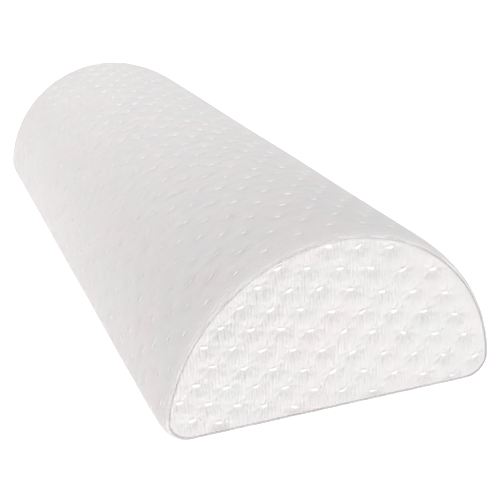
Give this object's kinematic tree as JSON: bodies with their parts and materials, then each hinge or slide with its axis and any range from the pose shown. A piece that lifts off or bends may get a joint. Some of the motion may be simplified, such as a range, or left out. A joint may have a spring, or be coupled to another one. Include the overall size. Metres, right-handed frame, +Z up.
{
  "type": "bolster pillow",
  "caption": "Half-moon bolster with a flat base and arched back: foam core in a liner, zipped tufted-knit cover with flat sewn ends.",
  "frame": {"origin": "middle of the flat base, on the surface the bolster rests on", "axes": "+X across the bolster towards the zipped side, +Y along it away from the end where the zip is closed, +Z up from the flat base to the crown"},
  "size_m": [0.1986, 0.5, 0.1053],
  "materials": {
    "cover_knit": "matt tufted white jacquard knit",
    "tuft_yarn": "glossy white filament yarn",
    "thread": "white polyester sewing thread",
    "liner_cloth": "thin white plain-weave cotton",
    "foam": "cream open-cell memory foam",
    "zip_tape": "white woven tape",
    "zip_coil": "white nylon",
    "zip_metal": "nickel-plated zinc"
  },
  "bodies": {
    "bolster": {"foam_core": "foam", "liner_wrap": "liner_cloth", "liner_end_front": "liner_cloth", "liner_end_rear": "liner_cloth", "cover_wrap": "cover_knit", "cover_end_front": "cover_knit", "cover_end_rear": "cover_knit", "seam_thread_front": "thread", "seam_thread_rear": "thread", "overlock_front": "thread", "overlock_rear": "thread", "zip_tape_upper": "zip_tape", "zip_tape_lower": "zip_tape", "zip_coil_upper": "zip_coil", "zip_coil_lower": "zip_coil", "zip_top_stops": "zip_metal", "zip_bottom_stop": "zip_metal", "zip_stitch_upper": "thread", "zip_stitch_lower": "thread", "bartack_front": "thread", "bartack_rear": "thread"},
    "slider": {"zip_slider": "zip_metal"},
    "pull": {"zip_pull": "zip_metal"}
  },
  "joints": [
    {"name": "zip_slide", "type": "slide", "parent": "bolster", "child": "slider", "axis": [0, 1, 0], "range_m": [0, 0.4046]},
    {"name": "pull_pivot", "type": "hinge", "parent": "slider", "child": "pull", "pos_m": [0.09687, -0.2024, 0.03558], "axis": [0.2985, 0, -0.9544], "range_deg": [0, 165]}
  ]
}
